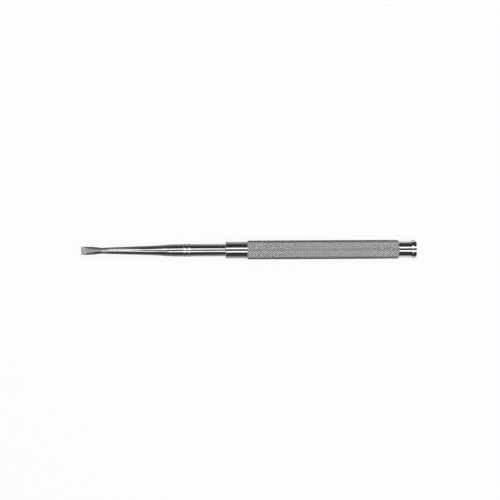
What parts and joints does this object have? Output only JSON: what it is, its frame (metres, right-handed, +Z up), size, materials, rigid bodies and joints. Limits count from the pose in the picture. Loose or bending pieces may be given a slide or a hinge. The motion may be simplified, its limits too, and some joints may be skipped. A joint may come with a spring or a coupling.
{
  "type": "bone chisel",
  "caption": "Straight bone chisel with a single-bevel blade, a tapered round shank and a diamond-knurled handle with a flared head for a mallet.",
  "frame": {"origin": "on the table, under the middle of the chisel's length, where the grip rests", "axes": "+X along the chisel from the cutting edge to the striking face, +Z up with the bevel facing up, +Y across the blade"},
  "size_m": [0.168, 0.0094, 0.0095],
  "materials": {
    "blade_steel": "polished shank, finely ground blade faces",
    "handle_steel": "polished collar, neck and head, satin diamond knurl"
  },
  "bodies": {
    "root": {"blade_and_shank": "blade_steel", "handle": "handle_steel"}
  },
  "joints": []
}
